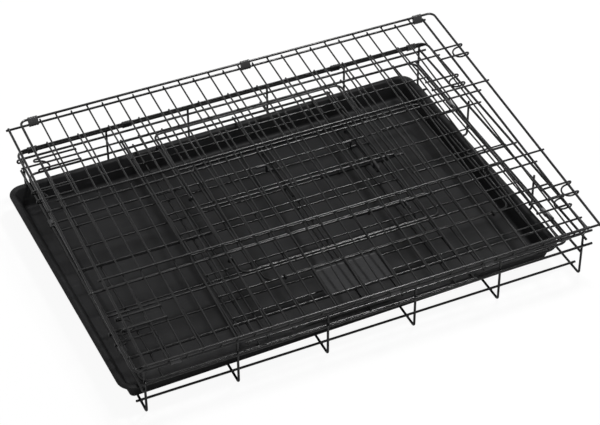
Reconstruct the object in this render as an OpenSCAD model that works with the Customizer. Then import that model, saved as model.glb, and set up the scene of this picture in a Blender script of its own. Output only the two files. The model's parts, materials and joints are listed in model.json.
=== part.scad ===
// Folding wire pet crate, lying folded flat over its plastic tray.
// X runs along the crate, Y from the near long side to the far one, Z up from the ground.

/* [Base] */
// Distance between the first and the last cross wire of the floor grid
base_l = 575; // [565:1:580]
// Distance between the near and the far uprights
base_w = 440; // [438:1:442]
// Height of the long rim rods above the ground
rim_h = 67; // [66:0.5:68]
// Number of cross wires in the floor grid
cross_count = 6; // [6:1:6]

/* [Wire] */
// Diameter of the rods that frame a panel
frame_d = 3.2; // [3.1:0.1:3.4]
// Diameter of the rails that cross a panel
rail_d = 2.6; // [2.4:0.1:2.8]
// Diameter of the thin mesh wires
mesh_d = 2.2; // [2:0.1:2.3]
// Diameter of the wires of the base
base_d = 3; // [2.8:0.1:3.2]
// Length of wire that stands past a weld
nub = 2.5; // [2:0.1:3]

/* [Panels] */
// Length of the near side, roof and far side panels
panel_l = 592; // [590:1:594]
// Height of the near side panel
near_h = 445; // [443:1:446]
// Width of the roof panel
roof_h = 448; // [446:1:449]
// Height of the far side panel
far_h = 433; // [430:1:434]
// Width of the two end panels
end_l = 420; // [418:1:420]
// Height of the two end panels
end_h = 430; // [426:1:432]
// Slope at which the near side panel lies when folded, in degrees
near_slope = 5; // [4.9:0.1:5.1]
// Slope at which the far side panel lies when folded, in degrees
far_slope = 0.66; // [0.64:0.01:0.68]

/* [Tray] */
// Length of the tray over its lip
tray_l = 586; // [582:1:588]
// Width of the tray over its lip
tray_w = 411; // [408:1:412]
// Height of the tray
tray_h = 28; // [26:0.5:28]
// Thickness of the tray's plastic
tray_t = 2; // [1.8:0.1:2.4]

/* [Doors] */
// Diameter of the slide bolts
bolt_d = 3.6; // [3.4:0.1:3.7]

/* [Hidden] */
$fn = 24;

// Ends of the whole crate, which put its origin under the middle of its box
reach_left = -32.12;
reach_right = 602.05;
reach_near = -7.6;
reach_far = 444.7;

base_r = base_d / 2;
frame_r = frame_d / 2;
rail_r = rail_d / 2;
mesh_r = mesh_d / 2;
bolt_r = bolt_d / 2;
bend_r = 4;
cross_pitch = base_l / (cross_count - 1);

// Long wires of the floor: distance from the near uprights
long_y = [18, 130.4, 305.8, 422];
turned_up = [1, 2];
long_z = base_d + base_r - 0.1;

// Hinge axes, and where each panel starts along its axis
near_axis = [-13.4, -4.8, rim_h + 4.1];
roof_gap = [3.6, 5.8];
roof_x = 2.4;
roof_mesh_shift = 6;
far_axis = [584.5, base_w, rim_h + 3.9];
right_axis = [base_l - 13, 10, 50];
left_axis = [1.3, 430, 37.4];

// Rods of the base: the ends' rims and hinge rods touch the outer or inner faces of the uprights
rod_gap = base_r + frame_r;
end_rim_z = rim_h - 9.5;
right_rod = [base_l - rod_gap, 40];
left_rod = [-rod_gap, left_axis[2]];
near_lower_z = 48.5;
far_lower_z = 55.5;
lower_eye_r = 2.6;
lower_eye_d = 2.6;
turn_up_x = base_l + rod_gap + frame_r + base_r - 0.1;
turn_up_z = 60;
rod_ends = [-4, base_l + 12];

// Panel mesh: wires lie on the outer face, rails nearly in the frame's plane
mesh_lift = frame_r + mesh_r - 0.2;
rail_lift = 0.2;
corner_r = 12;
roof_corner_r = 8;
top_rod_d = frame_d - 0.2;
bars = 14;
mesh_pitch = panel_l / bars;
end_bars = 10;
end_pitch = end_l / end_bars;

// Heights of the rails that cross the panels without a door
near_rails = [135, 285];
roof_rails = [155, 302];
left_rails = [25, 147, 290, 405];

// Door openings: where each starts and ends along its panel, and the rails below and above it
side_opening = [146, 10 * mesh_pitch];
side_rails = [35, 339];
end_opening = [2 * end_pitch, 8 * end_pitch];
end_rails = [30, 372];

// Around each door: the rail near the panel's top, the rails beside the door, and the door's own rails and rings
side_top_rail = 413;
side_beside = [153, 249];
side_cross = [121];
side_rings = [69, 183, 309];
end_top_rail = 405;
end_beside = [120, 230];
end_cross = [90, 330];
end_rings = [60, 200, 345];
door_gap = 4.5;
door_d = 3;
door_corner_r = 10;

// Slide bolts: height of each in its panel, and how far its axis lies below the frame
side_bolts = [204, 291];
end_bolts = [150, 270];
bolt_lift = -3.7;
bolt_l = 118;
bolt_reach = 9;
eyes_at = [24, 92];
eye_r = 3;
eye_d = 1.8;

// Each latch: where the bolts' tips are, which way they withdraw, and how far back the handles stand
side_latch = [side_opening[0] - bolt_reach, 1, 47];
end_latch = [end_opening[1] + bolt_reach, -1, 57];
handle_d = 3.2;
handle_top = 6;
handle_turns = [10, 24];

// Rings that hang a door on the wire beside it
door_ring_r = 2.75;
door_ring_d = 2.2;

// Spring hooks that catch the next panel when the crate is set up
hook_r = 9.6;
hook_d = 2.4;
hook_reach = 15.4;
hook_lean = 8;
curl_at = nub + frame_r + 0.35;
curl_r = 2;
roof_hook_v = [84, 376];
far_hook_v = [94, 375];

plate = [92, 50, 1];
plate_v = 363.5;

// Hairpin that keeps the tray in: place of its middle along the right end, its ends, and half its width
stop_u = 200;
stop_v = [-20, 31];
stop_r = 2.6;

// Place of the tray's middle, and how far it lies askew
tray_at = [264.7, 220.5];
tray_turn = 1.2;
tray_lip = 6;
tray_inset = 8;
tray_corner = 20;

// Hinge sleeves: length, wall, and their places along the rods that they join
clip_l = 13;
clip_wall = 1.2;
near_clip_x = [36.8, 314.6, 440, 547];
far_clip_x = [14, 144, 446, 562];
roof_clip_u = [33, 328, 583.7];
end_clip_y = [72, 324];

module centred() {
    translate([-(reach_left + reach_right) / 2, -(reach_near + reach_far) / 2, 0]) children();
}

module rod(a, b, d) {
    v = b - a;
    translate(a) rotate([0, acos(v[2] / norm(v)), atan2(v[1], v[0])]) cylinder(h = norm(v), d = d);
}

// Quarter bend in the XY plane about a centre, starting at the angle given
module bend(centre, r, d, from, sweep = 90) {
    translate(centre) rotate([0, 0, from]) rotate_extrude(angle = sweep) translate([r, 0]) circle(d = d);
}

module ring(r, d) {
    rotate_extrude() translate([r, 0]) circle(d = d);
}

// Frame of a panel: one rod bent into a U, a plain rod across its ends, and rails [v, u0, u1]
module panel_frame(l, h, rails, r = corner_r) {
    rod([r, 0, 0], [l - r, 0, 0], frame_d);
    bend([r, r, 0], r, frame_d, 180);
    bend([l - r, r, 0], r, frame_d, 270);
    for (u = [0, l]) rod([u, r, 0], [u, h + nub, 0], frame_d);
    rod([-nub - 1, h, 0], [l + nub + 1, h, 0], top_rod_d);
    for (rail = rails) rod([rail[1], rail[0], rail_lift], [rail[2], rail[0], rail_lift], rail_d);
}

// Mesh wires [u, v0, v1] welded on the outer face
module mesh_wires(wires) {
    for (wire = wires) rod([wire[0], wire[1], mesh_lift], [wire[0], wire[2], mesh_lift], mesh_d);
}

function across(l) = [-nub - frame_r, l + nub + frame_r];

function full_rails(l, heights) = [for (v = heights) [v, across(l)[0], across(l)[1]]];

function full_wires(count, pitch, h) = [for (i = [1 : count - 1]) [i * pitch, -1, h + nub]];

// Crimped sleeve round two parallel rods along X, the first at the origin and the second at [y, z]
module clip(gap, r1, r2) {
    span = norm(gap);
    turn = atan2(gap[1], gap[0]);
    difference() {
        rotate([90, 0, 90]) rotate([0, 0, turn]) translate([0, 0, -clip_l / 2]) {
            cylinder(h = clip_l, r = r1 + clip_wall);
            translate([span, 0, 0]) cylinder(h = clip_l, r = r2 + clip_wall);
            translate([0, -clip_wall, 0]) cube([span, 2 * clip_wall, clip_l]);
        }
        rod([-clip_l, 0, 0], [clip_l, 0, 0], 2 * r1 + 0.1);
        rod([-clip_l, gap[0], gap[1]], [clip_l, gap[0], gap[1]], 2 * r2 + 0.16);
    }
}

// Spring hook: two curls outside the leg turn back into a D-shaped loop that leans away from the panel's face
module hook(v, side, face) {
    bow = side * (hook_reach - hook_r);
    lift = face * curl_r;
    translate([-side * curl_at, v, face * rail_lift + lift]) rotate([0, -side * face * hook_lean, 0]) {
        for (s = [-1, 1]) translate([0, s * hook_r, 0]) {
            rotate([90, 0, 0]) bend([0, 0, 0], curl_r, hook_d, side * 90, 180);
            rod([0, 0, lift], [bow, 0, lift], hook_d);
        }
        bend([bow, 0, lift], hook_r, hook_d, side * -90, 180);
    }
}

// Short rails that carry the hooks, from each leg of a long panel to the mesh wire beside it
function hook_rails(l, heights, shift = 0) = [
    for (v = heights, s = [-1, 1])
        for (span = [[across(l)[0], mesh_pitch + shift + 1], [l - mesh_pitch + shift - 1, across(l)[1]]])
            [v + s * hook_r, span[0], span[1]]
];

module hook_set(l, heights, face) {
    for (v = heights) {
        hook(v, 1, face);
        translate([l, 0, 0]) hook(v, -1, face);
    }
}

function inside(u, span) = u > span[0] + 1 && u < span[1] - 1;

// Mesh wires of a panel that stop at the rails below and above its door opening
function holed_wires(count, pitch, h, opening, rails) = [
    for (i = [1 : count - 1])
        each inside(i * pitch, opening)
            ? [[i * pitch, -1, rails[0] + 1], [i * pitch, rails[1] - 1, h + nub]]
            : [[i * pitch, -1, h + nub]]
];

// Rails that run from both legs of a panel to the edges of its door opening
function beside_rails(l, opening, heights) = [
    for (v = heights) each [[v, across(l)[0], opening[0]], [v, opening[1], across(l)[1]]]
];

// Door: a closed rod frame with rails and mesh, hung by rings on the wire at u = hung
module door(opening, pitch, rails, cross, hung, rings, bolts, latch) {
    u = [opening[0] + door_gap, opening[1] - door_gap];
    v = [rails[0] + door_gap, rails[1] - door_gap];
    r = door_corner_r;
    for (k = [0, 1]) {
        rod([u[k], v[0] + r, 0], [u[k], v[1] - r, 0], door_d);
        rod([u[0] + r, v[k], 0], [u[1] - r, v[k], 0], door_d);
    }
    bend([u[0] + r, v[0] + r, 0], r, door_d, 180);
    bend([u[1] - r, v[0] + r, 0], r, door_d, 270);
    bend([u[1] - r, v[1] - r, 0], r, door_d, 0);
    bend([u[0] + r, v[1] - r, 0], r, door_d, 90);
    for (c = concat(cross, bolts)) rod([u[0], c, rail_lift], [u[1], c, rail_lift], rail_d);
    for (c = rings) translate([hung, c, mesh_lift]) rotate([90, 0, 0]) ring(door_ring_r, door_ring_d);
    for (c = bolts, e = eyes_at) {
        translate([latch[0] + latch[1] * e, c, bolt_lift]) rotate([0, 90, 0]) ring(eye_r, eye_d);
    }
    mesh_wires([
        for (i = [1 : bars]) if (inside(i * pitch, opening)) [i * pitch, v[0] - 1, v[1] + 1]
    ]);
}

// Slide bolt: a bar under the door, with a bent handle that stands up through the mesh
module slide_bolt(v, latch) {
    handle = latch[0] + latch[1] * latch[2];
    path = [
        [handle, v, bolt_lift], [handle, v + handle_turns[0], bolt_lift],
        [handle, v + handle_turns[0], handle_top], [handle, v + handle_turns[1], handle_top]
    ];
    rod([latch[0], v, bolt_lift], [latch[0] + latch[1] * bolt_l, v, bolt_lift], bolt_d);
    for (i = [0 : 2]) rod(path[i], path[i + 1], handle_d);
    for (i = [1 : 3]) translate(path[i]) sphere(d = handle_d);
}

module at_near_side() {
    translate(near_axis) rotate([near_slope, 0, 0]) children();
}

module at_roof() {
    at_near_side() {
        translate([roof_x - near_axis[0], near_h + roof_gap[0], roof_gap[1]]) rotate([180, 0, 0]) children();
    }
}

module at_far_side() {
    translate(far_axis) rotate([0, 0, 180]) rotate([-far_slope, 0, 0]) children();
}

module at_right_end() {
    translate(right_axis) rotate([0, 0, 90]) children();
}

module at_left_end() {
    translate(left_axis) rotate([0, 0, -90]) children();
}

module floor_cross_wires() color("#1b1b1c") centred() {
    for (i = [0 : cross_count - 1]) {
        rod([i * cross_pitch, bend_r, base_r], [i * cross_pitch, base_w - bend_r, base_r], base_d);
    }
}

module floor_long_wires() color("#1b1b1c") centred() {
    for (i = [0 : len(long_y) - 1]) {
        bent = len(search(i, turned_up)) > 0;
        rod([-6, long_y[i], long_z], [bent ? turn_up_x - bend_r : base_l + 5, long_y[i], long_z], base_d);
    }
}

// A row of uprights, each with the bend that carries it into its floor wire
module upright_row(y, turn) {
    for (i = [0 : cross_count - 1]) translate([i * cross_pitch, y, base_r]) rotate([0, 0, turn]) {
        translate([0, bend_r, bend_r]) rotate([90, 0, 90]) bend([0, 0, 0], bend_r, base_d, 180);
        rod([0, 0, bend_r], [0, 0, rim_h - base_r - frame_r + 0.1], base_d);
    }
}

module near_uprights() color("#1b1b1c") centred() upright_row(0, 0);

module far_uprights() color("#1b1b1c") centred() upright_row(base_w, 180);

module right_uprights() color("#1b1b1c") centred() {
    for (i = turned_up) translate([turn_up_x, long_y[i], long_z]) {
        translate([-bend_r, 0, bend_r]) rotate([90, 0, 0]) bend([0, 0, 0], bend_r, base_d, 270);
        rod([0, 0, bend_r], [0, 0, turn_up_z - long_z], base_d);
    }
}

module long_rod(y, z) {
    rod([rod_ends[0], y, z], [rod_ends[1], y, z], frame_d);
}

module end_rod(at) {
    rod([at[0], -3, at[1]], [at[0], base_w + 3, at[1]], frame_d);
}

module near_rim_rod() color("#202021") centred() long_rod(0, rim_h);

module far_rim_rod() color("#202021") centred() long_rod(base_w, rim_h);

module right_rim_rod() color("#202021") centred() end_rod([base_l + rod_gap, end_rim_z]);

module near_lower_rod() color("#202021") centred() long_rod(-rod_gap, near_lower_z);

// The far lower rod ends on the left in a small curled eye
module far_lower_rod() color("#202021") centred() {
    long_rod(base_w + rod_gap, far_lower_z);
    translate([rod_ends[0], base_w + rod_gap, far_lower_z - lower_eye_r]) rotate([90, 0, 0]) {
        ring(lower_eye_r, lower_eye_d);
    }
}

module left_hinge_rod() color("#202021") centred() end_rod(left_rod);

module right_hinge_rod() color("#202021") centred() end_rod(right_rod);

module near_hinge_clips() color("#2c2c2e") centred() {
    for (x = near_clip_x) {
        translate([x, 0, rim_h]) clip([near_axis[1], near_axis[2] - rim_h], frame_r, frame_r);
    }
}

module far_hinge_clips() color("#2c2c2e") centred() {
    for (x = far_clip_x) translate([x, base_w, rim_h]) {
        clip([far_axis[1] - base_w, far_axis[2] - rim_h], frame_r, frame_r);
    }
}

// Clips along Y between an end rod and the end panel's own hinge rod
module end_clips(at, axis) {
    for (y = end_clip_y) translate([at[0], y, at[1]]) rotate([0, 0, axis[0] > at[0] ? -90 : 90]) {
        clip([abs(axis[0] - at[0]), axis[2] - at[1]], frame_r, frame_r);
    }
}

module left_hinge_clips() color("#2c2c2e") centred() end_clips(left_rod, left_axis);

module right_hinge_clips() color("#2c2c2e") centred() end_clips(right_rod, right_axis);

module rounded_slab(l, w, r, h) {
    hull() for (x = [r, l - r], y = [r, w - r]) translate([x, y, 0]) cylinder(h = h, r = r, $fn = 32);
}

// Slab of the tray's outline, drawn in from the lip's edge by the distance given
module tray_slab(inset, r, z, h) {
    translate([inset - tray_l / 2, inset - tray_w / 2, z]) {
        rounded_slab(tray_l - 2 * inset, tray_w - 2 * inset, r, h);
    }
}

// Tray with sloping walls, a rolled lip and a flat floor
module tray() color("#232325") centred() {
    foot = tray_lip + tray_inset;
    foot_r = tray_corner - foot;
    wall_r = tray_corner - tray_lip;
    translate([tray_at[0], tray_at[1], long_z + base_r + 0.3]) rotate([0, 0, tray_turn]) difference() {
        union() {
            hull() {
                tray_slab(foot, foot_r, 0, 0.5);
                tray_slab(tray_lip, wall_r, tray_h - 0.5, 0.5);
            }
            tray_slab(0, tray_corner, tray_h - 3, 3);
        }
        hull() {
            tray_slab(foot + tray_t, foot_r, tray_t, 0.5);
            tray_slab(tray_lip + tray_t, wall_r - tray_t, tray_h + 1, 0.5);
        }
    }
}

module near_side_panel() color("#1d1d1e") centred() at_near_side() {
    panel_frame(panel_l, near_h, full_rails(panel_l, near_rails));
    mesh_wires(full_wires(bars, mesh_pitch, near_h));
}

module roof_hinge_clips() color("#2c2c2e") centred() at_near_side() {
    for (x = roof_clip_u) {
        translate([x, near_h, 0]) clip(roof_gap, top_rod_d / 2, frame_r);
    }
}

module roof_panel() color("#1d1d1e") centred() at_roof() {
    short_rails = hook_rails(panel_l, roof_hook_v, roof_mesh_shift);
    panel_frame(panel_l, roof_h, concat(full_rails(panel_l, roof_rails), short_rails), roof_corner_r);
    translate([roof_mesh_shift, 0, 0]) mesh_wires(full_wires(bars, mesh_pitch, roof_h));
}

module roof_hooks() color("#1d1d1e") centred() at_roof() hook_set(panel_l, roof_hook_v, 1);

module far_side_panel() color("#1d1d1e") centred() at_far_side() {
    full = full_rails(panel_l, [side_rails[0], side_rails[1], side_top_rail]);
    beside = beside_rails(panel_l, side_opening, side_beside);
    panel_frame(panel_l, far_h, concat(full, beside, hook_rails(panel_l, far_hook_v)));
    mesh_wires(holed_wires(bars, mesh_pitch, far_h, side_opening, side_rails));
    mesh_wires([[side_opening[0], side_rails[0] - 1, side_rails[1] + 1]]);
}

module far_side_hooks() color("#1d1d1e") centred() at_far_side() hook_set(panel_l, far_hook_v, -1);

// Plain plate fixed under the last rail above the door
module blank_plate() color("#39393b") centred() at_far_side() {
    translate([(panel_l - plate[0]) / 2, plate_v, rail_lift - rail_r - plate[2] + 0.05]) cube(plate);
}

module side_door() color("#1f1f20") centred() at_far_side() {
    door(side_opening, mesh_pitch, side_rails, side_cross, side_opening[1], side_rings, side_bolts, side_latch);
}

module side_door_upper_bolt() color("#28282a") centred() at_far_side() slide_bolt(side_bolts[1], side_latch);

module side_door_lower_bolt() color("#28282a") centred() at_far_side() slide_bolt(side_bolts[0], side_latch);

module right_end_panel() color("#1d1d1e") centred() at_right_end() {
    full = full_rails(end_l, [end_rails[0], end_rails[1], end_top_rail]);
    panel_frame(end_l, end_h, concat(full, beside_rails(end_l, end_opening, end_beside)));
    mesh_wires(holed_wires(end_bars, end_pitch, end_h, end_opening, end_rails));
}

// Hairpin of wire that reaches over the end of the tray
module tray_stop() color("#1d1d1e") centred() at_right_end() translate([stop_u, 0, mesh_lift]) {
    for (u = [-stop_r, stop_r]) rod([u, stop_v[0], 0], [u, stop_v[1], 0], mesh_d);
    bend([0, stop_v[0], 0], stop_r, mesh_d, 180, 180);
}

module end_door() color("#1f1f20") centred() at_right_end() {
    door(end_opening, end_pitch, end_rails, end_cross, end_opening[0], end_rings, end_bolts, end_latch);
}

module end_door_upper_bolt() color("#28282a") centred() at_right_end() slide_bolt(end_bolts[1], end_latch);

module end_door_lower_bolt() color("#28282a") centred() at_right_end() slide_bolt(end_bolts[0], end_latch);

module left_end_panel() color("#1d1d1e") centred() at_left_end() {
    panel_frame(end_l, end_h, full_rails(end_l, left_rails));
    mesh_wires(full_wires(end_bars, end_pitch, end_h));
}

floor_cross_wires();
floor_long_wires();
near_uprights();
far_uprights();
right_uprights();
near_rim_rod();
far_rim_rod();
right_rim_rod();
near_lower_rod();
far_lower_rod();
left_hinge_rod();
right_hinge_rod();
near_hinge_clips();
far_hinge_clips();
left_hinge_clips();
right_hinge_clips();
tray();
near_side_panel();
roof_hinge_clips();
roof_panel();
roof_hooks();
far_side_panel();
far_side_hooks();
blank_plate();
side_door();
side_door_upper_bolt();
side_door_lower_bolt();
right_end_panel();
tray_stop();
end_door();
end_door_upper_bolt();
end_door_lower_bolt();
left_end_panel();
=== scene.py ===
"""Folding wire pet crate, folded flat over its plastic tray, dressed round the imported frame.

Lengths are in metres. Places on the base count from its near left corner, and ORIGIN is the frame's origin
there. A panel has its own axes: u runs along its hinge, v away from the hinge, and w out of its outer face,
on which the mesh wires lie.
"""
import json
import math

import bpy
import numpy as np
from mathutils import Matrix, Vector


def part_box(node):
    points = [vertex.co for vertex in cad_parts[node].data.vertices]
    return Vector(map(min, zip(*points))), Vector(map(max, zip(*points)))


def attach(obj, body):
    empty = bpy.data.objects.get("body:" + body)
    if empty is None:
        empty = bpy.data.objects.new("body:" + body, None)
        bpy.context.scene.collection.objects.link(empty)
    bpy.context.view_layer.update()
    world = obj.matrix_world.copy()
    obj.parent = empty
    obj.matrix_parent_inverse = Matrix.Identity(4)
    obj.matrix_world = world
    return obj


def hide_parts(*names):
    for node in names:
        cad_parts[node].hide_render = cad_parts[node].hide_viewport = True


bl_info = {
    "name": "Folding wire crate",
    "version": (1, 0, 0),
    "blender": (4, 5, 0),
    "location": "View3D > Sidebar > Crate",
    "description": "Builds the tray, sleeves, hooks, welds and finishes of a folding wire crate",
    "category": "Object",
}

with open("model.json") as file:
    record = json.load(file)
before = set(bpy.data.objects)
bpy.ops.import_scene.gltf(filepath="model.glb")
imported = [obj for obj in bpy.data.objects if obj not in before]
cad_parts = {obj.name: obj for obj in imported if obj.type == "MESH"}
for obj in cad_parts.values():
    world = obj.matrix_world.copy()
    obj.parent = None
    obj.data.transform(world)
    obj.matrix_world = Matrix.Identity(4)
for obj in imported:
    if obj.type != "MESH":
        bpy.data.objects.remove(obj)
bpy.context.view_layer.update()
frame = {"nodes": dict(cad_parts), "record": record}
MM = 0.001


def node_box(name):
    """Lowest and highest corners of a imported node, as arrays."""
    low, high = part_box(name)
    return np.array(low), np.array(high)


class WireLook(bpy.types.PropertyGroup):
    """Coated steel wire."""

    colour: bpy.props.FloatVectorProperty(
        name="Coating", description="Colour of the coated wire", subtype="COLOR", size=3,
        default=(0.0022, 0.0022, 0.0024), min=0, max=1)
    sleeve_colour: bpy.props.FloatVectorProperty(
        name="Sleeve coating", description="Colour of the crimped sleeves", subtype="COLOR", size=3,
        default=(0.02, 0.02, 0.021), min=0, max=1)
    bolt_colour: bpy.props.FloatVectorProperty(
        name="Bolt coating", description="Colour of the slide bolts", subtype="COLOR", size=3,
        default=(0.014, 0.014, 0.015), min=0, max=1)
    roughness: bpy.props.FloatProperty(
        name="Roughness", description="Roughness of the coating", default=0.22, min=0, max=1)
    weld_spread: bpy.props.FloatProperty(
        name="Weld spread", description="Half width of the bead at each weld", default=1.9 * MM,
        unit="LENGTH", min=0.5 * MM, max=4 * MM)


class TrayLook(bpy.types.PropertyGroup):
    """Moulded plastic tray."""

    colour: bpy.props.FloatVectorProperty(
        name="Plastic", description="Colour of the tray", subtype="COLOR", size=3,
        default=(0.0078, 0.0078, 0.0082), min=0, max=1)
    roughness: bpy.props.FloatProperty(
        name="Roughness", description="Roughness of the grained plastic", default=0.55, min=0, max=1)
    lip: bpy.props.FloatProperty(
        name="Lip", description="Width of the lip round the tray", default=6 * MM, unit="LENGTH",
        min=3 * MM, max=12 * MM)
    draft: bpy.props.FloatProperty(
        name="Draft", description="How far the walls lean in at the foot", default=8 * MM, unit="LENGTH",
        min=1 * MM, max=12 * MM)
    wall: bpy.props.FloatProperty(
        name="Wall", description="Thickness of the plastic", default=2 * MM, unit="LENGTH",
        min=1 * MM, max=4 * MM)
    corner: bpy.props.FloatProperty(
        name="Corner", description="Radius of the tray's corners over the lip", default=20 * MM,
        unit="LENGTH", min=12 * MM, max=60 * MM)


class StageLook(bpy.types.PropertyGroup):
    """Floor, lights and camera."""

    azimuth: bpy.props.FloatProperty(
        name="Azimuth", description="Direction of the camera round the crate", subtype="ANGLE",
        default=math.radians(-24.17))
    elevation: bpy.props.FloatProperty(
        name="Elevation", description="Height of the camera above the horizon", subtype="ANGLE",
        default=math.radians(39.66))
    roll: bpy.props.FloatProperty(
        name="Roll", description="Turn of the camera about its own axis", subtype="ANGLE",
        default=math.radians(-0.42))
    distance: bpy.props.FloatProperty(
        name="Distance", description="From the camera to the point it looks at", unit="LENGTH",
        default=2.4995)
    lens: bpy.props.FloatProperty(
        name="Lens", description="Focal length on a 36 mm sensor", default=115.8)
    floor_colour: bpy.props.FloatVectorProperty(
        name="Floor", description="Colour of the pale floor", subtype="COLOR", size=3,
        default=(0.8, 0.8, 0.8), min=0, max=1)


# Radii of the wires, and how they pass over one another
FRAME_R = 1.6 * MM
RAIL_R = 1.3 * MM
MESH_R = 1.1 * MM
TOP_ROD_R = 1.5 * MM
BASE_R = 1.5 * MM
NUB = 2.5 * MM
MESH_LIFT = 2.5 * MM
RAIL_LIFT = 0.2 * MM
TOUCH = 0.5 * MM

# Base: floor wires, rods and the axes of the hinges
BASE_L = 0.575
BASE_W = 0.440
RIM_Z = 0.067
CROSS_X = np.arange(6) * BASE_L / 5
LONG_Y = np.array([0.018, 0.1304, 0.3058, 0.422])
LONG_Z = 4.4 * MM
LONG_START = -6 * MM
TURNED_TOP = 0.060
BEND_R = 4 * MM
ORIGIN = np.array([-BASE_R, BEND_R, 0]) - node_box("floor_cross_wires")[0]
ROD_GAP = BASE_R + FRAME_R
NEAR_LOWER_Z = 0.0485
FAR_LOWER_Z = 0.0555
ROD_ENDS = (-4 * MM, BASE_L + 12 * MM)
END_ROD_ENDS = (-3 * MM, BASE_W + 3 * MM)
LEFT_ROD = (-ROD_GAP, 0.0374)
RIGHT_ROD = (BASE_L - ROD_GAP, 0.040)
RIGHT_RIM = (BASE_L + ROD_GAP, RIM_Z - 9.5 * MM)
NEAR_AXIS = np.array([-0.0134, -0.0048, 0.0711])
FAR_AXIS = np.array([0.5845, BASE_W, 0.0709])
RIGHT_AXIS = np.array([0.562, 0.010, 0.050])
LEFT_AXIS = np.array([0.0013, 0.430, 0.0374])
NEAR_SLOPE = math.radians(5)
FAR_SLOPE = math.radians(0.66)

# Long panels: near side, roof and far side, with the heights of their rails
PANEL_L = 0.592
PANEL_BARS = 14
PITCH = PANEL_L / PANEL_BARS
NEAR_H = 0.445
ROOF_H = 0.448
FAR_H = 0.433
NEAR_RAILS = (0.135, 0.285)
ROOF_RAILS = (0.155, 0.302)
ROOF_MESH_SHIFT = 6 * MM
ROOF_START = (0.0158, NEAR_H + 3.6 * MM, 5.8 * MM)

# End panels
END_L = 0.420
END_H = 0.430
END_BARS = 10
END_PITCH = END_L / END_BARS
LEFT_RAILS = (0.025, 0.147, 0.290, 0.405)

# Doorways and doors: an opening's ends along the hinge, then the heights of the rails and bolts
SIDE_OPENING = (0.146, 10 * PITCH)
SIDE_RAILS = (0.035, 0.339)
SIDE_TOP_RAIL = 0.413
SIDE_BESIDE = (0.153, 0.249)
SIDE_DOOR_RAILS = (0.121,)
SIDE_BOLTS = (0.204, 0.291)
END_OPENING = (2 * END_PITCH, 8 * END_PITCH)
END_RAILS = (0.030, 0.372)
END_TOP_RAIL = 0.405
END_BESIDE = (0.120, 0.230)
END_DOOR_RAILS = (0.090, 0.330)
END_BOLTS = (0.150, 0.270)
DOOR_GAP = 4.5 * MM

# Spring hooks: the curl and bow of their wire, and the heights of their middles
HOOK_R = 9.6 * MM
HOOK_WIRE_R = 1.2 * MM
CURL_AT = 4.45 * MM
CURL_R = 2.0 * MM
HOOK_REACH = 15.4 * MM
HOOK_LEAN = math.radians(8)
ROOF_HOOKS = (0.084, 0.376)
FAR_HOOKS = (0.094, 0.375)

# Hinge sleeves: their middles along each rod
SLEEVE_L = 13 * MM
SLEEVE_R = FRAME_R + 1.15 * MM
NEAR_SLEEVES = (0.0368, 0.3146, 0.440, 0.547)
FAR_SLEEVES = (0.014, 0.144, 0.446, 0.562)
ROOF_SLEEVES = (0.033, 0.328, 0.5837)
END_SLEEVES = (0.072, 0.324)

# Tray and plate
TRAY_SIZE = np.array([0.586, 0.411])
PLATE_SIZE = np.array([0.092, 0.050])
PLATE_V = 0.3635

# Half sizes of the weld beads, in spreads
MESH_BEAD = np.array([1, 1, 0.34])
LEG_BEAD = np.array([1.1, 0.9, 0.4])
CORNER_BEAD = np.array([1.1, 1.1, 0.4])
ROD_BEAD = np.array([1.25, 0.8, 0.6])

# Points round a wire and a weld bead, and a bead's steps from pole to pole
WIRE_SIDES = 10
BEAD_SIDES = 8
BEAD_STEPS = 5

# Ends of wires, in wire radii: a tube's shoulder and tip, and a coating dome's (radius, height) steps and top
SHOULDER_R = 0.7
SHOULDER_RISE = 0.35
TIP_RISE = 0.5
DOME_STEPS = ((1.0, -0.4), (0.96, 0.05), (0.72, 0.32))
DOME_RISE = 0.45

# A direction in which no wire runs, to square rings with
ODD_WAY = (0.47, 0.55, 0.69)

# Stage
LOOK_AT = np.array([0.3093, 0.2546, 0.0])
FLOOR_REACH = 6.0
FLOOR_GLOW = 0.93
WORLD_LIGHT = 0.3
LAMP_TARGET = (0, 0, 0.05)
LAMPS = (  # name, place, size, watts
    ("key", (0.75, 0.35, 2.1), 0.4, 58.0),
    ("front", (-0.9, -1.9, 1.5), 1.2, 10.0),
    ("back", (0.2, 2.2, 1.3), 1.4, 5.0),
)


class Panel:
    """Axes of a folded panel: where its hinge starts, and its u, v and w directions."""

    def __init__(self, start, u, v, w):
        self.start = np.array(start, float)
        self.axes = np.array([u, v, w], float)

    def place(self, points):
        """Points given as [u, v, w] in the crate's frame."""
        return self.start + np.asarray(points, float) @ self.axes


def tilted(start, heading, slope):
    """Panel whose u axis is heading (+1 or -1 along X) and whose v axis climbs at slope."""
    c, s = math.cos(slope), math.sin(slope)
    return Panel(start, (heading, 0, 0), (0, heading * c, s), (0, -heading * s, c))


near_side = tilted(NEAR_AXIS - ORIGIN, 1, NEAR_SLOPE)
roof = Panel(near_side.place(ROOF_START), near_side.axes[0], -near_side.axes[1], -near_side.axes[2])
far_side = tilted(FAR_AXIS - ORIGIN, -1, -FAR_SLOPE)
right_end = Panel(RIGHT_AXIS - ORIGIN, (0, 1, 0), (-1, 0, 0), (0, 0, 1))
left_end = Panel(LEFT_AXIS - ORIGIN, (0, -1, 0), (1, 0, 0), (0, 0, 1))


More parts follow.
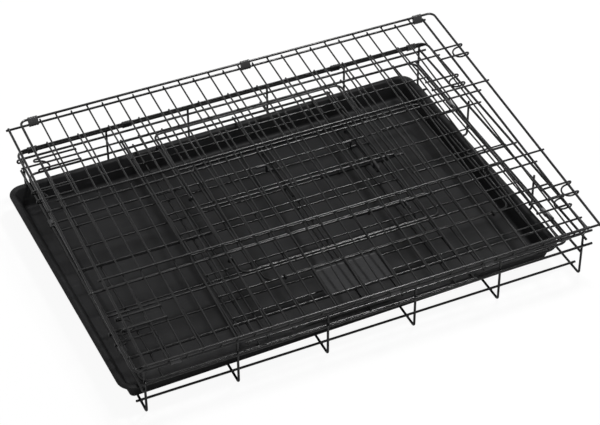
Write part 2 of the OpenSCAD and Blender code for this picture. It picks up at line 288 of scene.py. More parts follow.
class Solid:
    """Vertices and faces gathered from several surfaces of one piece."""

    def __init__(self):
        self.points = []
        self.faces = []
        self.count = 0

    def add(self, points, faces):
        """Adds points, and blocks of faces that count from the first of them."""
        self.points.append(np.asarray(points, float).reshape(-1, 3))
        self.faces.extend((np.asarray(f) + self.count).tolist() for f in faces if len(f))
        self.count += len(self.points[-1])

    def finish(self, name, body, slot, material, replaces=(), smooth=True):
        """Puts the gathered surfaces into one object that rides on a body."""
        mesh = bpy.data.meshes.new(name)
        faces = [face for block in self.faces for face in block]
        mesh.from_pydata(np.concatenate(self.points).tolist(), [], faces)
        mesh.update()
        if smooth:
            mesh.shade_smooth()
        else:
            mesh.shade_flat()
        piece = bpy.data.objects.new(name, mesh)
        bpy.context.scene.collection.objects.link(piece)
        mesh.materials.append(material)
        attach(piece, body)
        if replaces:
            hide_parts(*replaces)
        return piece


def ring_quads(rows, sides):
    """Quads that join rows of points, each row closed on itself."""
    first = np.arange(rows - 1)[:, None] * sides
    k = np.arange(sides)[None, :]
    after = (k + 1) % sides
    quads = [first + k, first + after, first + sides + after, first + sides + k]
    return np.stack(quads, axis=-1).reshape(-1, 4)


def fan(tip, first, sides, flip=False):
    """Triangles that join the point tip to the ring that starts at the point first."""
    k = np.arange(sides)
    edge = [first + k, first + (k + 1) % sides]
    return np.stack([np.full(sides, tip), *(edge[::-1] if flip else edge)], axis=1)


def tipped_faces(rows, sides):
    """Faces of a stack of rows whose first and last close on the two points that follow them."""
    tips = rows * sides
    return [ring_quads(rows, sides), fan(tips, 0, sides, flip=True), fan(tips + 1, tips - sides, sides)]


def ring_angles(sides):
    """Even angles round a circle."""
    return np.linspace(0, 2 * math.pi, sides, endpoint=False)


def ring_directions(heading, sides):
    """Unit directions from a wire's middle to its ring of points, square to each heading."""
    side = np.cross(heading, ODD_WAY)
    side /= np.linalg.norm(side, axis=-1, keepdims=True)
    up = np.cross(heading, side)
    angle = ring_angles(sides)[:, None]
    return side[..., None, :] * np.cos(angle) + up[..., None, :] * np.sin(angle)


def tube(solid, path, radius):
    """Round tube: rings of the given radius square to the path, with a domed point at each end."""
    path = np.asarray(path, float)
    along = np.gradient(path, axis=0)
    along /= np.linalg.norm(along, axis=1, keepdims=True)
    ring = radius * ring_directions(along, WIRE_SIDES)
    ends = path[[0, -1]]
    outward = radius * along[[0, -1]] * [[-1], [1]]
    shoulders = (ends + SHOULDER_RISE * outward)[:, None] + SHOULDER_R * ring[[0, -1]]
    rows = np.concatenate([shoulders[:1], path[:, None] + ring, shoulders[1:]])
    points = np.concatenate([rows.reshape(-1, 3), ends + TIP_RISE * outward])
    solid.add(points, tipped_faces(len(rows), WIRE_SIDES))


def copies(solid, shape, centres, faces):
    """Adds one shape at each of the centres."""
    centres = np.asarray(centres, float).reshape(-1, 3)
    shift = (np.arange(len(centres)) * len(shape))[:, None, None]
    solid.add(centres[:, None] + shape, [(f[None] + shift).reshape(-1, f.shape[1]) for f in faces])


def beads(solid, centres, axes, radii):
    """Flattened balls on a panel's axes: x = a cos p cos q, y = b cos p sin q, z = c sin p."""
    p = np.linspace(-math.pi / 2, math.pi / 2, BEAD_STEPS)[1:-1]
    q = ring_angles(BEAD_SIDES)
    ball = np.stack([np.outer(np.cos(p), np.cos(q)), np.outer(np.cos(p), np.sin(q)),
                     np.outer(np.sin(p), np.ones(BEAD_SIDES))], axis=-1).reshape(-1, 3)
    ball = np.concatenate([ball, [[0, 0, -1], [0, 0, 1]]]) * radii
    copies(solid, ball @ axes, centres, tipped_faces(len(p), BEAD_SIDES))


def domes(solid, centres, heading, radius):
    """Low domes on the cut ends of wires: rings and a pole, in the direction heading."""
    rise = radius * np.asarray(heading, float)
    ring = radius * ring_directions(heading, WIRE_SIDES)
    rings = [r * ring + h * rise for r, h in DOME_STEPS]
    tip = len(rings) * WIRE_SIDES
    faces = [ring_quads(len(rings), WIRE_SIDES), fan(tip, tip - WIRE_SIDES, WIRE_SIDES),
             np.arange(WIRE_SIDES)[None, ::-1]]
    copies(solid, np.concatenate([*rings, [DOME_RISE * rise]]), centres, faces)


def group_sockets(tree, inputs, outputs):
    """Makes a group's named sockets: inputs are (name, kind, value), outputs are (name, kind)."""
    for name, kind, value in inputs:
        socket = tree.interface.new_socket(name=name, in_out="INPUT", socket_type="NodeSocket" + kind)
        socket.default_value = value
    for name, kind in outputs:
        tree.interface.new_socket(name=name, in_out="OUTPUT", socket_type="NodeSocket" + kind)


def add_node(tree, kind, inputs=(), **settings):
    """A node with settings and input values, or links where the value is a socket."""
    node = tree.nodes.new(kind)
    for key, value in settings.items():
        setattr(node, key, value)
    for key, value in dict(inputs).items():
        if isinstance(value, bpy.types.NodeSocket):
            tree.links.new(value, node.inputs[key])
        else:
            node.inputs[key].default_value = value
    return node


def blend_colours(tree, factor, first, second, mode="MIX"):
    """Mix of two colours."""
    return add_node(tree, "ShaderNodeMix", {0: factor, 6: first, 7: second}, data_type="RGBA",
                    blend_type=mode).outputs[2]


def calc(tree, operation, *values, clamp=False):
    """Result of a maths node."""
    return add_node(tree, "ShaderNodeMath", dict(enumerate(values)), operation=operation,
                    use_clamp=clamp).outputs[0]


def ramp(tree, value, low, high):
    """0 to 1 while the value goes from low to high."""
    return add_node(tree, "ShaderNodeMapRange", {
        "Value": value, "From Min": low, "From Max": high}).outputs[0]


def noise(tree, place, scale, detail):
    """Soft noise from 0 to 1."""
    return add_node(tree, "ShaderNodeTexNoise", {
        "Vector": place, "Scale": scale, "Detail": detail}).outputs["Fac"]


def link_inputs(tree, node, results):
    """Links results to the named inputs of a node."""
    for name, value in results.items():
        tree.links.new(value, node.inputs[name])


def coating_group():
    """Dipped or powdered coating: slow waves in thickness, fine orange peel, and dust on the upper faces."""
    tree = bpy.data.node_groups.new("Coating", "ShaderNodeTree")
    group_sockets(tree, [
        ("Colour", "Color", (0.01, 0.01, 0.01, 1)), ("Dust Colour", "Color", (0.1, 0.1, 0.1, 1)),
        ("Dust", "Float", 0.2), ("Roughness", "Float", 0.35), ("Spread", "Float", 0.1),
        ("Peel Size", "Float", 900.0),
    ], [("Colour", "Color"), ("Roughness", "Float"), ("Height", "Float")])
    here = add_node(tree, "NodeGroupInput").outputs
    place = add_node(tree, "ShaderNodeTexCoord").outputs["Object"]
    normal = add_node(tree, "ShaderNodeNewGeometry").outputs["Normal"]
    upward = add_node(tree, "ShaderNodeSeparateXYZ", {"Vector": normal}).outputs["Z"]
    waves = noise(tree, place, 38.0, 2.0)
    peel = noise(tree, place, here["Peel Size"], 2.0)
    specks = noise(tree, place, 420.0, 4.0)
    dusty = calc(tree, "MULTIPLY", ramp(tree, upward, 0.3, 1.0), ramp(tree, specks, 0.52, 0.74))
    amount = calc(tree, "MULTIPLY", dusty, here["Dust"])
    wave = calc(tree, "MULTIPLY", calc(tree, "SUBTRACT", waves, 0.5), here["Spread"])
    base = calc(tree, "ADD", here["Roughness"], wave)
    link_inputs(tree, add_node(tree, "NodeGroupOutput"), {
        "Colour": blend_colours(tree, amount, here["Colour"], here["Dust Colour"]),
        "Roughness": calc(tree, "MULTIPLY_ADD", amount, 0.35, base, clamp=True),
        "Height": calc(tree, "MULTIPLY_ADD", waves, 0.6, peel),
    })
    return tree


def grain_group():
    """Moulded plastic: a fine cell grain, faint flow clouds and light scuffs across the surface."""
    tree = bpy.data.node_groups.new("Moulded grain", "ShaderNodeTree")
    group_sockets(tree, [
        ("Colour", "Color", (0.02, 0.02, 0.02, 1)), ("Scuff Colour", "Color", (0.06, 0.06, 0.06, 1)),
        ("Scuffs", "Float", 0.4), ("Roughness", "Float", 0.5), ("Grain Size", "Float", 900.0),
    ], [("Colour", "Color"), ("Roughness", "Float"), ("Height", "Float")])
    here = add_node(tree, "NodeGroupInput").outputs
    place = add_node(tree, "ShaderNodeTexCoord").outputs["Object"]
    cells = add_node(tree, "ShaderNodeTexVoronoi", {"Vector": place, "Scale": here["Grain Size"]},
                     feature="SMOOTH_F1")
    stretched = add_node(tree, "ShaderNodeMapping", {
        "Vector": place, "Scale": (24.0, 160.0, 24.0), "Rotation": (0.0, 0.0, 0.35)})
    clouds = ramp(tree, noise(tree, place, 9.0, 5.0), 0.4, 0.75)
    scratches = ramp(tree, noise(tree, stretched.outputs[0], 1.6, 3.0), 0.62, 0.72)
    amount = calc(tree, "MULTIPLY", calc(tree, "MULTIPLY", scratches, clouds), here["Scuffs"])
    tint = blend_colours(tree, clouds, (0.85, 0.85, 0.85, 1), (1.18, 1.18, 1.18, 1))
    shaded = blend_colours(tree, 1.0, here["Colour"], tint, "MULTIPLY")
    link_inputs(tree, add_node(tree, "NodeGroupOutput"), {
        "Colour": blend_colours(tree, amount, shaded, here["Scuff Colour"]),
        "Roughness": calc(tree, "MULTIPLY_ADD", clouds, 0.1, here["Roughness"], clamp=True),
        "Height": cells.outputs["Distance"],
    })
    return tree


def grouped_material(name, tree, bump_depth, bump_strength, specular, values):
    """Principled material whose colour, roughness and bump come from a shared node group."""
    material = bpy.data.materials.new(name)
    material.use_nodes = True
    nodes = material.node_tree
    shader = nodes.nodes["Principled BSDF"]
    group = add_node(nodes, "ShaderNodeGroup", node_tree=tree)
    for key, value in values.items():
        group.inputs[key].default_value = (*value, 1) if hasattr(value, "__len__") else value
    bump = add_node(nodes, "ShaderNodeBump", {
        "Height": group.outputs["Height"], "Strength": bump_strength, "Distance": bump_depth})
    link_inputs(nodes, shader, {
        "Base Color": group.outputs["Colour"], "Roughness": group.outputs["Roughness"],
        "Normal": bump.outputs["Normal"]})
    shader.inputs["Specular IOR Level"].default_value = specular
    return material


MATERIALS = {}


def make_materials(wire, tray):
    """All finishes of the crate, by the name of the record's slot."""
    coating, grain = coating_group(), grain_group()
    dust = (0.09, 0.088, 0.085)
    MATERIALS["wire"] = grouped_material("Black coated wire", coating, 0.06 * MM, 0.5, 0.24, {
        "Colour": wire.colour, "Dust Colour": dust, "Dust": 0.05, "Roughness": wire.roughness,
        "Spread": 0.2, "Peel Size": 1100.0})
    MATERIALS["sleeves"] = grouped_material("Crimped sleeve", coating, 0.12 * MM, 0.7, 0.3, {
        "Colour": wire.sleeve_colour, "Dust Colour": dust, "Dust": 0.16, "Roughness": 0.3,
        "Spread": 0.3, "Peel Size": 700.0})
    MATERIALS["bolts"] = grouped_material("Slide bolt coating", coating, 0.05 * MM, 0.5, 0.2, {
        "Colour": wire.bolt_colour, "Dust Colour": dust, "Dust": 0.08, "Roughness": 0.27,
        "Spread": 0.2, "Peel Size": 1300.0})
    MATERIALS["plate"] = grouped_material("Bare painted plate", coating, 0.08 * MM, 0.4, 0.09, {
        "Colour": (0.012, 0.012, 0.0126), "Dust Colour": (0.045, 0.045, 0.045), "Dust": 0.2,
        "Roughness": 0.45, "Spread": 0.25, "Peel Size": 500.0})
    MATERIALS["tray_plastic"] = grouped_material("Grained black plastic", grain, 0.25 * MM, 0.35, 0.11, {
        "Colour": tray.colour, "Scuff Colour": (0.05, 0.05, 0.052), "Scuffs": 0.35,
        "Roughness": tray.roughness, "Grain Size": 760.0})


def crossing_points(wires, heights, reach):
    """Where wires [u, v0, v1] cross rods and rails [v, u0, u1], on the plane where the two touch."""
    wires, rods = np.array(wires), np.array(heights)
    u, v = wires[:, None, 0], rods[None, :, 0]
    meets = (v >= wires[:, None, 1] - reach) & (v <= wires[:, None, 2] + reach)
    meets &= (u >= rods[None, :, 1] - reach) & (u <= rods[None, :, 2] + reach)
    at = np.argwhere(meets)
    return np.stack([wires[at[:, 0], 0], rods[at[:, 1], 0], np.full(len(at), MESH_LIFT - MESH_R)], axis=1)


def panel_rods(length, height):
    """The two lengthwise rods of a panel's frame, as [v, u0, u1]."""
    return [[0, 0, length], [height, -NUB, length + NUB]]


def full_rails(length, heights):
    """Rails that run past both legs, as [v, u0, u1]."""
    return [[v, -NUB - FRAME_R, length + NUB + FRAME_R] for v in heights]


def full_wires(count, pitch, height):
    """Mesh wires that run the whole height of a panel, as [u, v0, v1]."""
    return [[i * pitch, -1 * MM, height + NUB] for i in range(1, count)]


def holed_wires(count, pitch, height, opening, rails):
    """Mesh wires cut at the rails below and above a door opening."""
    wires = []
    for u, low, high in full_wires(count, pitch, height):
        if opening[0] + MM < u < opening[1] - MM:
            wires += [[u, low, rails[0] + MM], [u, rails[1] - MM, high]]
        else:
            wires.append([u, low, high])
    return wires


def beside_rails(length, opening, heights):
    """Rails from each leg to the door opening."""
    ends = full_rails(length, [0])[0]
    return [rail for v in heights for rail in ([v, ends[1], opening[0]], [v, opening[1], ends[2]])]


def hook_rails(length, heights, shift=0.0):
    """Pairs of short rails that carry the hooks, from each leg of a long panel to the mesh wire beside it."""
    ends = full_rails(length, [0])[0]
    return [rail for h in heights for v in (h - HOOK_R, h + HOOK_R)
            for rail in ([v, ends[1], PITCH + shift + MM], [v, length - PITCH + shift - MM, ends[2]])]


def leg_welds(solid, panel, length, height, rails, spread):
    """Beads where the rails and the top rod meet the legs, and domes on the cut ends of the frame."""
    legs = (0, length)
    joints = [[u, v, RAIL_LIFT + 0.75 * RAIL_R] for v, low, high in rails for u in legs if low <= u <= high]
    beads(solid, panel.place(joints), panel.axes, spread * LEG_BEAD)
    corners = [[u, height, 0.8 * TOP_ROD_R] for u in legs]
    beads(solid, panel.place(corners), panel.axes, spread * CORNER_BEAD)
    along, out = panel.axes[:2]
    overhang = NUB + MM
    for ends, heading, radius in (
            ([[low, v, RAIL_LIFT] for v, low, high in rails if low < 0], -along, RAIL_R),
            ([[high, v, RAIL_LIFT] for v, low, high in rails if high > length], along, RAIL_R),
            ([[-overhang, height, 0]], -along, TOP_ROD_R),
            ([[length + overhang, height, 0]], along, TOP_ROD_R),
            ([[u, height + NUB, 0] for u in legs], out, FRAME_R)):
        domes(solid, panel.place(ends), heading, radius)


def weld_piece(name, body, panel, length, height, wires, rails, spread, legs=True):
    """Weld beads at every crossing of a panel, and coating domes on its cut wire ends."""
    solid = Solid()
    rods = panel_rods(length, height) if legs else []
    beads(solid, panel.place(crossing_points(wires, rails + rods, TOUCH)), panel.axes, spread * MESH_BEAD)
    if legs:
        leg_welds(solid, panel, length, height, rails, spread)
    domes(solid, panel.place([[u, high, MESH_LIFT] for u, low, high in wires]), panel.axes[1], MESH_R)
    domes(solid, panel.place([[u, low, MESH_LIFT] for u, low, high in wires]), -panel.axes[1], MESH_R)
    solid.finish(name, body, "wire", MATERIALS["wire"])


def base_welds(spread):
    """Weld beads where the base's wires and rods touch, and coating domes on their cut ends."""
    solid = Solid()
    square = np.eye(3)
    floor = np.array([[x, y, 2 * BASE_R] for y in LONG_Y for x in CROSS_X])
    beads(solid, floor - ORIGIN, square, spread * CORNER_BEAD)
    for y, side, z in ((0, 0, RIM_Z), (BASE_W, 0, RIM_Z), (-ROD_GAP, -1, NEAR_LOWER_Z),
                       (BASE_W + ROD_GAP, 1, FAR_LOWER_Z)):
        # a rim rod lies on the uprights, and a lower rod beside them
        spots = np.array([[x, y - side * FRAME_R, z - FRAME_R * (side == 0)] for x in CROSS_X])
        beads(solid, spots - ORIGIN, square, spread * ROD_BEAD)
        for x, heading in zip(ROD_ENDS, (-1, 1)):
            domes(solid, np.array([x, y, z]) - ORIGIN, (heading, 0, 0), FRAME_R)
    for x, z in (LEFT_ROD, RIGHT_ROD, RIGHT_RIM):
        for y, heading in zip(END_ROD_ENDS, (-1, 1)):
            domes(solid, np.array([x, y, z]) - ORIGIN, (0, heading, 0), FRAME_R)
    starts = np.array([[LONG_START, y, LONG_Z] for y in LONG_Y])
    domes(solid, starts - ORIGIN, (-1, 0, 0), BASE_R)
    turned = np.array([[RIGHT_RIM[0] + ROD_GAP - 0.1 * MM, y, TURNED_TOP] for y in LONG_Y[1:3]])
    domes(solid, turned - ORIGIN, (0, 0, 1), BASE_R)
    solid.finish("base_welds", "base", "wire", MATERIALS["wire"])


def sleeve(solid, centre, along, gap):
    """Crimped sleeve: a loop drawn tight round two rods that lie gap apart.

    With t from -1 to 1 along it, its radius is R (0.86 + 0.14 sqrt(1 - (1 - e)^2)) - pinch c. Here e goes
    from 0 at either end to 1 within the eased stretch, and c = exp(-((|t| - 0.46) / 0.09)^2) +
    0.8 exp(-(t / 0.08)^2) is 1 at the two outer crimps and 0.8 at the middle one.
    """
    steps, sides = 33, 28
    eased, pinch, oval = 0.09, 0.32 * MM, 0.05
    along, gap = np.asarray(along, float), np.asarray(gap, float)
    first = gap / np.linalg.norm(gap)
    second = np.cross(along, first)
    t = np.linspace(-1, 1, steps)
    angle = ring_angles(sides)
    crimp = np.exp(-((np.abs(t) - 0.46) / 0.09) ** 2) + 0.8 * np.exp(-(t / 0.08) ** 2)
    ease = np.clip((1 - np.abs(t)) / eased, 0, 1)
    size = SLEEVE_R * (0.86 + 0.14 * np.sqrt(1 - (1 - ease) ** 2)) - pinch * crimp
    bulge = 1 + oval * np.cos(2 * angle)[None, :] * (1 - crimp)[:, None]
    outward = first * np.cos(angle)[:, None] + second * np.sin(angle)[:, None]
    carried = np.clip(np.cos(angle) * 4 + 0.5, 0, 1)[:, None] * gap
    reach = along * SLEEVE_L / 2
    rows = (centre + reach * t[:, None, None] + outward[None] * (size[:, None] * bulge)[..., None]
            + carried[None])
    middles = [centre - reach + gap / 2, centre + reach + gap / 2]
    solid.add(np.concatenate([rows.reshape(-1, 3), middles]), tipped_faces(steps, sides))


def rounded_ring(centre, half, radius, inset, z, arc):
    """Points round a rectangle of half sizes less inset, with corners of radius less inset, at height z."""
    r = max(radius - inset, 2 * MM)
    angle = np.linspace(0, math.pi / 2, arc)[None, :] + np.arange(4)[:, None] * math.pi / 2
    signs = np.array([[1, 1], [-1, 1], [-1, -1], [1, -1]])[:, None, :]
    corner = centre + signs * (half - inset - r)
    xy = corner + r * np.stack([np.cos(angle), np.sin(angle)], axis=-1)
    return np.concatenate([xy.reshape(-1, 2), np.full((4 * arc, 1), z)], axis=1)


def ring_stack(rings, place):
    """Solid through a stack of rings, closed by a flat face at each end; place moves the points."""
    solid = Solid()
    sides = len(rings[0])
    ring = np.arange(sides)
    last = (len(rings) - 1) * sides
    solid.add(place(np.concatenate(rings)), [ring_quads(len(rings), sides), [last + ring], [ring[::-1]]])
    return solid


def tray_profile(look, depth):
    """The tray's section from under the floor, round the lip and back: (inset from the edge, height)."""
    middle = 0.12
    heel, toe, curl = 3 * MM, 5 * MM, 1.5 * MM
    wall, foot = look.wall, look.lip + look.draft
    inner = foot + wall
    bend = np.linspace(0, math.pi / 2, 6)
    underside = [(middle, 0.0), (foot + heel + 14 * MM, 0.0)]
    underside += [(foot + heel * (1 - math.sin(a)), heel * (1 - math.cos(a))) for a in bend]
    outer_wall = [(look.lip + 0.6 * MM, depth - 5.2 * MM), (look.lip - 0.5 * MM, depth - 3.6 * MM)]
    rolled_lip = [(1.6 * MM, depth - 3.2 * MM), (0.5 * MM, depth - 3.0 * MM), (0.1 * MM, depth - 2.5 * MM)]
    rolled_lip += [(curl * (1 - math.cos(a)), depth - curl * (1 - math.sin(a))) for a in bend]
    rolled_lip += [(look.lip * 0.7, depth), (look.lip + wall * 0.4, depth - 0.4 * MM),
                   (look.lip + wall, depth - 1.9 * MM)]
    fillet = [(inner + toe * (1 - math.cos(a)), wall + toe * (1 - math.sin(a))) for a in bend]
    step, rise = inner + 26 * MM, 0.9 * MM
    field = [(step - 2 * MM, wall), (step, wall + 0.15 * rise), (step + 1.6 * MM, wall + 0.85 * rise),
             (step + 3.6 * MM, wall + rise), (middle, wall + rise)]
    return underside + outer_wall + rolled_lip + fillet + field


class CRATE_OT_materials(bpy.types.Operator):
    """Make the crate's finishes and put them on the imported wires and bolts."""

    bl_idname = "crate.materials"
    bl_label = "Finishes"

    def execute(self, context):
        make_materials(context.scene.crate_wire, context.scene.crate_tray)
        slots = {row["node"]: row["material_slot"] for row in frame["record"]["subparts"]}
        for name, node in frame["nodes"].items():
            node.data.materials.clear()
            node.data.materials.append(MATERIALS[slots[name]])
        return {"FINISHED"}


class CRATE_OT_tray(bpy.types.Operator):
    """Build the moulded tray: rolled lip, leaning walls, round fillets and a floor with a raised field."""

    bl_idname = "crate.tray"
    bl_label = "Tray"

    def execute(self, context):
        look = context.scene.crate_tray
        low, high = node_box("tray")
        middle = [(low[0] + high[0]) / 2, (low[1] + high[1]) / 2, low[2]]
        joints = frame["record"]["behaviour"]["joints"]
        slide = next(row["axis"] for row in joints if row["name"] == "tray_slide")
        askew = math.atan2(-slide[1], -slide[0])
        c, s = math.cos(askew), math.sin(askew)
        rings = [rounded_ring(np.zeros(2), TRAY_SIZE / 2, look.corner, inset, z, arc=9)
                 for inset, z in tray_profile(look, high[2] - low[2])]
        solid = ring_stack(rings, lambda points: points @ [[c, s, 0], [-s, c, 0], [0, 0, 1]] + middle)
        solid.finish("tray_shell", "tray", "tray_plastic", MATERIALS["tray_plastic"], ["tray"])
        return {"FINISHED"}


class CRATE_OT_sleeves(bpy.types.Operator):
    """Build the crimped sleeves that join each panel's hinge rod to the rod beside it."""

    bl_idname = "crate.sleeves"
    bl_label = "Hinge sleeves"

    def execute(self, context):
        along_x, along_y = np.eye(3)[:2]
        for name, node, along, places, axis in (
                ("near_sleeves", "near_hinge_clips", along_x,
                 [(x, 0, RIM_Z) for x in NEAR_SLEEVES], NEAR_AXIS),
                ("far_sleeves", "far_hinge_clips", along_x,
                 [(x, BASE_W, RIM_Z) for x in FAR_SLEEVES], FAR_AXIS),
                ("left_sleeves", "left_hinge_clips", along_y,
                 [(LEFT_ROD[0], y, LEFT_ROD[1]) for y in END_SLEEVES], LEFT_AXIS),
                ("right_sleeves", "right_hinge_clips", along_y,
                 [(RIGHT_ROD[0], y, RIGHT_ROD[1]) for y in END_SLEEVES], RIGHT_AXIS)):
            solid = Solid()
            for place in np.array(places):
                sleeve(solid, place - ORIGIN, along, (axis - place) * (1 - along))
            solid.finish(name, "base", "sleeves", MATERIALS["sleeves"], [node])
        solid = Solid()
        step = np.array([0, ROOF_START[1] - NEAR_H, ROOF_START[2]]) @ near_side.axes
        for u in ROOF_SLEEVES:
            sleeve(solid, near_side.place([u, NEAR_H, 0]), near_side.axes[0], step)
        solid.finish("roof_sleeves", "near_side", "sleeves", MATERIALS["sleeves"], ["roof_hinge_clips"])
        return {"FINISHED"}


class CRATE_OT_hooks(bpy.types.Operator):
    """Build the spring hooks: each wire curls back past the panel's leg and bows inwards in a leaning D.

    In the hook's own plane the curl is u = -r cos t, w = r sin t and the bow is u = a + R cos t, v = R sin t.
    The whole hook then leans about the curl's axis.
    """

    bl_idname = "crate.hooks"
    bl_label = "Hooks"

    def execute(self, context):
        turn = np.linspace(-math.pi / 2, math.pi / 2, 9)
        bow = np.linspace(math.pi / 2, -math.pi / 2, 17)
        curl = np.stack([-CURL_R * np.cos(turn), np.full(turn.size, HOOK_R), CURL_R * np.sin(turn)], axis=1)
        arc = np.stack([HOOK_REACH - HOOK_R + HOOK_R * np.cos(bow), HOOK_R * np.sin(bow),
                        np.full(bow.size, CURL_R)], axis=1)
        c, s = math.cos(HOOK_LEAN), math.sin(HOOK_LEAN)
        shape = np.concatenate([curl, arc, curl[::-1] * [1, -1, 1]]) @ [[c, 0, s], [0, 1, 0], [-s, 0, c]]
        shape += [-CURL_AT, 0, RAIL_LIFT + CURL_R]
        for name, body, panel, heights, face, node in (
                ("roof_spring_hooks", "roof", roof, ROOF_HOOKS, 1, "roof_hooks"),
                ("far_side_spring_hooks", "far_side", far_side, FAR_HOOKS, -1, "far_side_hooks")):
            solid = Solid()
            for height in heights:
                for edge, side in ((0, 1), (PANEL_L, -1)):
                    tube(solid, panel.place(shape * [side, 1, face] + [edge, height, 0]), HOOK_WIRE_R)
            solid.finish(name, body, "wire", MATERIALS["wire"], [node])
        return {"FINISHED"}


class CRATE_OT_welds(bpy.types.Operator):
    """Add the weld beads and the coated wire ends of every panel, door and the base."""

    bl_idname = "crate.welds"
    bl_label = "Welds and wire ends"

    def execute(self, context):
        spread = context.scene.crate_wire.weld_spread
        roof_wires = [[u + ROOF_MESH_SHIFT, *span] for u, *span in full_wires(PANEL_BARS, PITCH, ROOF_H)]
        roof_rails = full_rails(PANEL_L, ROOF_RAILS) + hook_rails(PANEL_L, ROOF_HOOKS, ROOF_MESH_SHIFT)
        far_wires = holed_wires(PANEL_BARS, PITCH, FAR_H, SIDE_OPENING, SIDE_RAILS)
        far_wires.append([SIDE_OPENING[0], SIDE_RAILS[0] - MM, SIDE_RAILS[1] + MM])
        far_rails = (full_rails(PANEL_L, [*SIDE_RAILS, SIDE_TOP_RAIL])
                     + beside_rails(PANEL_L, SIDE_OPENING, SIDE_BESIDE) + hook_rails(PANEL_L, FAR_HOOKS))
        right_wires = holed_wires(END_BARS, END_PITCH, END_H, END_OPENING, END_RAILS)
        right_rails = (full_rails(END_L, [*END_RAILS, END_TOP_RAIL])
                       + beside_rails(END_L, END_OPENING, END_BESIDE))
        for name, body, panel, length, height, wires, rails in (
                ("near_side_welds", "near_side", near_side, PANEL_L, NEAR_H,
                 full_wires(PANEL_BARS, PITCH, NEAR_H), full_rails(PANEL_L, NEAR_RAILS)),
                ("roof_welds", "roof", roof, PANEL_L, ROOF_H, roof_wires, roof_rails),
                ("far_side_welds", "far_side", far_side, PANEL_L, FAR_H, far_wires, far_rails),
                ("right_end_welds", "right_end", right_end, END_L, END_H, right_wires, right_rails),
                ("left_end_welds", "left_end", left_end, END_L, END_H,
                 full_wires(END_BARS, END_PITCH, END_H), full_rails(END_L, LEFT_RAILS))):
            weld_piece(name, body, panel, length, height, wires, rails, spread)
        for name, body, panel, opening, pitch, rails, inner in (
                ("side_door_welds", "side_door", far_side, SIDE_OPENING, PITCH, SIDE_RAILS,
                 SIDE_DOOR_RAILS + SIDE_BOLTS),
                ("end_door_welds", "end_door", right_end, END_OPENING, END_PITCH, END_RAILS,
                 END_DOOR_RAILS + END_BOLTS)):
            u = (opening[0] + DOOR_GAP, opening[1] - DOOR_GAP)
            v = (rails[0] + DOOR_GAP, rails[1] - DOOR_GAP)
            bars = [i * pitch for i in range(1, PANEL_BARS) if u[0] < i * pitch < u[1]]
            wires = [[bar, v[0] - MM, v[1] + MM] for bar in bars]
            rods = [[height, *u] for height in (*v, *inner)]
            weld_piece(name, body, panel, u[1], v[1], wires, rods, spread, legs=False)
        base_welds(spread)
        return {"FINISHED"}


class CRATE_OT_plate(bpy.types.Operator):
    """Build the bare plate: pressed sheet with rounded corners and a shallow dished field."""

    bl_idname = "crate.plate"
    bl_label = "Plate"

    def execute(self, context):
        thick, edge, middle = 1.0 * MM, 0.25 * MM, 12 * MM
        centre = np.array([(PANEL_L - PLATE_SIZE[0]) / 2, PLATE_V]) + PLATE_SIZE / 2
        top = RAIL_LIFT - RAIL_R + 0.05 * MM
        profile = [(middle, -thick), (edge, -thick), (0, -thick + edge), (0, -edge), (edge, 0), (1.8 * MM, 0),
                   (2.6 * MM, -0.25 * MM), (middle, -0.3 * MM)]
        rings = [rounded_ring(centre, PLATE_SIZE / 2, 4 * MM, inset, top + z, arc=7) for inset, z in profile]
        solid = ring_stack(rings, far_side.place)
        solid.finish("bare_plate", "far_side", "plate", MATERIALS["plate"], ["blank_plate"], smooth=False)
        return {"FINISHED"}


def look_from(azimuth, elevation, roll):
    """Right, up and back directions of a camera."""
    back = np.array([math.sin(azimuth) * math.cos(elevation), -math.cos(azimuth) * math.cos(elevation),
                     math.sin(elevation)])
    right = np.array([math.cos(azimuth), math.sin(azimuth), 0])
    up = np.cross(back, right)
    c, s = math.cos(roll), math.sin(roll)
    return c * right + s * up, c * up - s * right, back


def place_camera(scene, look):
    """Sets the camera as the photo was taken."""
    right, up, back = look_from(look.azimuth, look.elevation, look.roll)
    camera = bpy.data.objects.new("Camera", bpy.data.cameras.new("Camera"))
    scene.collection.objects.link(camera)
    camera.data.lens = look.lens
    camera.data.sensor_width = 36
    camera.data.clip_end = 50
    turn = Matrix(np.stack([right, up, back], axis=1).tolist()).to_4x4()
    turn.translation = LOOK_AT - ORIGIN + back * look.distance
    camera.matrix_world = turn
    scene.camera = camera


def lay_floor(scene, colour):
    """Pale floor that glows for the camera alone, so that it fades into the white background."""
    mesh = bpy.data.meshes.new("floor")
    corners = [(x * FLOOR_REACH, y * FLOOR_REACH, 0) for x, y in ((-1, -1), (1, -1), (1, 1), (-1, 1))]
    mesh.from_pydata(corners, [], [(0, 1, 2, 3)])
    ground = bpy.data.objects.new("floor", mesh)
    scene.collection.objects.link(ground)
    pale = bpy.data.materials.new("Pale floor")
    pale.use_nodes = True
    tree = pale.node_tree
    shader = tree.nodes["Principled BSDF"]
    shader.inputs["Base Color"].default_value = (*colour, 1)
    shader.inputs["Roughness"].default_value = 0.9
    glow = add_node(tree, "ShaderNodeEmission", {"Color": (1, 1, 1, 1), "Strength": 1.0})
    path = add_node(tree, "ShaderNodeLightPath")
    seen = calc(tree, "MULTIPLY", path.outputs["Is Camera Ray"], FLOOR_GLOW)
    mix = add_node(tree, "ShaderNodeMixShader", {0: seen, 1: shader.outputs[0], 2: glow.outputs[0]})
    link_inputs(tree, tree.nodes["Material Output"], {"Surface": mix.outputs[0]})
    mesh.materials.append(pale)


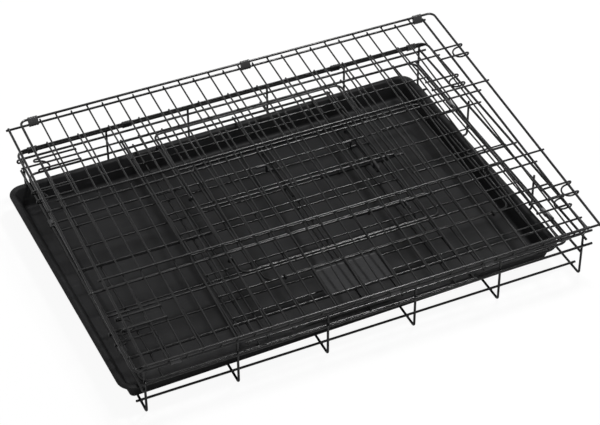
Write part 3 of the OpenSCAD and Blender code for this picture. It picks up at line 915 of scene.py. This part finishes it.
def light_world(scene):
    """Dim white light all round, which looks plain white to the camera and in glossy reflections."""
    world = bpy.data.worlds.new("Studio")
    scene.world = world
    world.use_nodes = True
    tree = world.node_tree
    soft = tree.nodes["Background"]
    soft.inputs["Color"].default_value = (1, 1, 1, 1)
    soft.inputs["Strength"].default_value = WORLD_LIGHT
    white = add_node(tree, "ShaderNodeBackground", {"Color": (1, 1, 1, 1), "Strength": 1.0})
    path = add_node(tree, "ShaderNodeLightPath")
    shown = path.outputs["Is Camera Ray"]
    for kind in ("Is Glossy Ray", "Is Transmission Ray"):
        shown = calc(tree, "MAXIMUM", shown, path.outputs[kind])
    mix = add_node(tree, "ShaderNodeMixShader", {0: shown, 1: soft.outputs[0], 2: white.outputs[0]})
    link_inputs(tree, tree.nodes["World Output"], {"Surface": mix.outputs[0]})


def hang_lamps(scene):
    """Hangs the square lamps, each facing the crate."""
    for name, spot, size, watts in LAMPS:
        lamp = bpy.data.lights.new(name, "AREA")
        lamp.size = size
        lamp.energy = watts
        holder = bpy.data.objects.new(name, lamp)
        scene.collection.objects.link(holder)
        holder.location = spot
        holder.rotation_euler = (Vector(LAMP_TARGET) - Vector(spot)).to_track_quat("-Z", "Y").to_euler()


class CRATE_OT_stage(bpy.types.Operator):
    """Set the pale floor, the soft lamps and the camera."""

    bl_idname = "crate.stage"
    bl_label = "Stage"

    def execute(self, context):
        scene = context.scene
        place_camera(scene, scene.crate_stage)
        lay_floor(scene, scene.crate_stage.floor_colour)
        light_world(scene)
        hang_lamps(scene)
        scene.view_settings.view_transform = "Standard"
        return {"FINISHED"}


OPERATORS = (CRATE_OT_materials, CRATE_OT_tray, CRATE_OT_sleeves, CRATE_OT_hooks, CRATE_OT_welds,
             CRATE_OT_plate, CRATE_OT_stage)


class CRATE_PT_panel(bpy.types.Panel):
    """Sidebar panel that lists the crate's sizes, colours and builders."""

    bl_label = "Folding wire crate"
    bl_idname = "CRATE_PT_panel"
    bl_space_type = "VIEW_3D"
    bl_region_type = "UI"
    bl_category = "Crate"

    def draw(self, context):
        for group in (context.scene.crate_wire, context.scene.crate_tray, context.scene.crate_stage):
            box = self.layout.box()
            for key in group.__annotations__:
                box.prop(group, key)
        for operator in OPERATORS:
            self.layout.operator(operator.bl_idname)


CLASSES = (WireLook, TrayLook, StageLook, *OPERATORS, CRATE_PT_panel)


def register():
    """Registers the classes and hangs the property groups on the scene."""
    for item in CLASSES:
        bpy.utils.register_class(item)
    bpy.types.Scene.crate_wire = bpy.props.PointerProperty(type=WireLook)
    bpy.types.Scene.crate_tray = bpy.props.PointerProperty(type=TrayLook)
    bpy.types.Scene.crate_stage = bpy.props.PointerProperty(type=StageLook)


def unregister():
    """Removes the property groups and the classes."""
    del bpy.types.Scene.crate_wire
    del bpy.types.Scene.crate_tray
    del bpy.types.Scene.crate_stage
    for item in reversed(CLASSES):
        bpy.utils.unregister_class(item)


def main():
    """Builds every piece and the stage."""
    register()
    for step in (bpy.ops.crate.materials, bpy.ops.crate.tray, bpy.ops.crate.sleeves, bpy.ops.crate.hooks,
                 bpy.ops.crate.welds, bpy.ops.crate.plate, bpy.ops.crate.stage):
        step()


if __name__ == "__main__":
    main()
